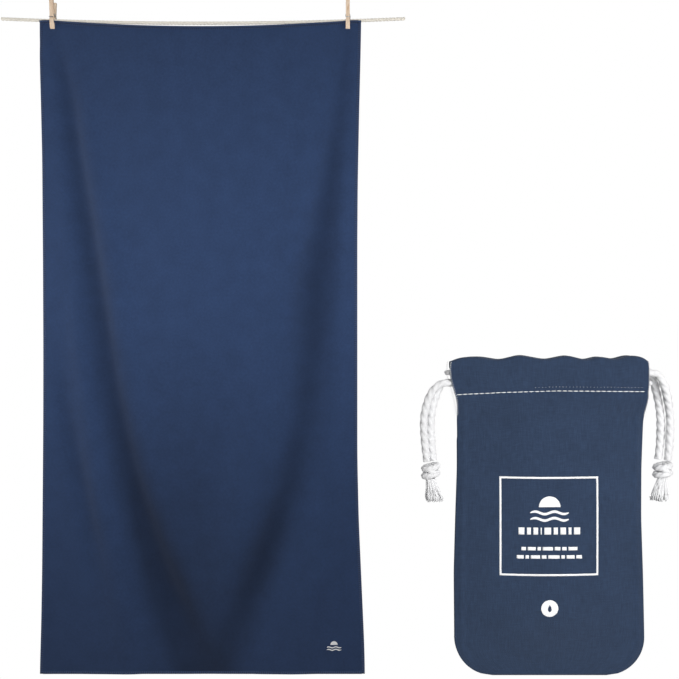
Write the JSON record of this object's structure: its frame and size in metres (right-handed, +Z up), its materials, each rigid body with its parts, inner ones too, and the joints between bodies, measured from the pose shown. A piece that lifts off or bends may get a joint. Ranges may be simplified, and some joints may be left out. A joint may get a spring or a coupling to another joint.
{
  "type": "quick dry towel",
  "caption": "Large microfibre quick dry towel pegged along a taut rope line, with its drawstring carry pouch standing beside it.",
  "frame": {"origin": "Level with the centre of the line at the pegs, in the line's vertical plane, midway between the towel's top corners.", "axes": "+Z up. The face of the towel that is seen looks along -Y. +X runs along the line, to the right seen from the front."},
  "size_m": [1.1238, 1.0428, 1.6489],
  "materials": {
    "wood": "bare pine, warm tan",
    "pale_wood": "bare pine, paler",
    "spring_wire": "drawn spring wire",
    "rope": "twisted cotton rope, off-white",
    "microfibre": "navy suede microfibre",
    "navy_thread": "navy overlock thread",
    "white_thread": "white sewing and embroidery thread",
    "canvas": "heathered slate-blue canvas",
    "cotton_cord": "soft white cotton cord",
    "ink": "white screen print",
    "dark_ink": "dark screen print",
    "label": "plain white woven label"
  },
  "bodies": {
    "line": {"line_rope": "rope"},
    "towel": {"towel_sheet": "microfibre", "towel_overlock_top": "navy_thread", "towel_overlock_bottom": "navy_thread", "towel_overlock_left": "navy_thread", "towel_overlock_right": "navy_thread", "towel_emblem_sun": "white_thread", "towel_emblem_wave_upper": "white_thread", "towel_emblem_wave_lower": "white_thread", "towel_care_label": "label", "peg_left_back_leg": "pale_wood", "peg_left_spring_coil": "spring_wire", "peg_right_back_leg": "pale_wood", "peg_right_spring_coil": "spring_wire"},
    "peg_left_front": {"peg_left_front_leg": "wood", "peg_left_spring_front_arm": "spring_wire"},
    "peg_right_front": {"peg_right_front_leg": "wood", "peg_right_spring_front_arm": "spring_wire"},
    "pouch": {"pouch_front_panel": "canvas", "pouch_back_panel": "canvas", "pouch_channel_front": "canvas", "pouch_channel_back": "canvas", "pouch_channel_stitch_front": "white_thread", "pouch_channel_stitch_back": "white_thread", "pouch_seam_left": "canvas", "pouch_seam_right": "canvas", "pouch_seam_bottom": "canvas", "pouch_print_frame": "ink", "pouch_print_sun": "ink", "pouch_print_wave_upper": "ink", "pouch_print_wave_lower": "ink", "pouch_print_bar_bold": "ink", "pouch_print_bar_upper": "ink", "pouch_print_bar_lower": "ink", "pouch_size_disc": "ink", "pouch_size_mark": "dark_ink", "drawstring_left_far_turn": "cotton_cord", "drawstring_right_far_turn": "cotton_cord"},
    "drawstring_left": {"drawstring_left_front_strand": "cotton_cord", "drawstring_left_back_strand": "cotton_cord", "drawstring_left_front_run": "cotton_cord", "drawstring_left_back_run": "cotton_cord", "drawstring_left_knot": "cotton_cord", "drawstring_left_tassel": "cotton_cord"},
    "drawstring_right": {"drawstring_right_front_strand": "cotton_cord", "drawstring_right_back_strand": "cotton_cord", "drawstring_right_front_run": "cotton_cord", "drawstring_right_back_run": "cotton_cord", "drawstring_right_knot": "cotton_cord", "drawstring_right_tassel": "cotton_cord"}
  },
  "joints": [
    {"name": "towel_swing", "type": "hinge", "parent": "line", "child": "towel", "pos_m": [0, 0, 0], "axis": [1, 0, 0], "range_deg": [-30, 30]},
    {"name": "peg_left_open", "type": "hinge", "parent": "towel", "child": "peg_left_front", "pos_m": [-0.3636, -0.0012, 0.013], "axis": [-1, 0, 0], "range_deg": [0, 18], "stiffness_Nm_per_rad": 0.3, "springref_deg": -8.02},
    {"name": "peg_right_open", "type": "hinge", "parent": "towel", "child": "peg_right_front", "pos_m": [0.3587, -0.0012, 0.013], "axis": [-1, 0, 0], "range_deg": [0, 18], "stiffness_Nm_per_rad": 0.3, "springref_deg": -8.02},
    {"name": "pouch_lift", "type": "slide", "parent": "line", "child": "pouch", "axis": [0, 0, 1], "range_m": [0, 0.3]},
    {"name": "drawstring_left_pull", "type": "slide", "parent": "pouch", "child": "drawstring_left", "axis": [-1, 0, 0], "range_m": [0, 0.045]},
    {"name": "drawstring_right_pull", "type": "slide", "parent": "pouch", "child": "drawstring_right", "axis": [1, 0, 0], "range_m": [0, 0.045]}
  ]
}
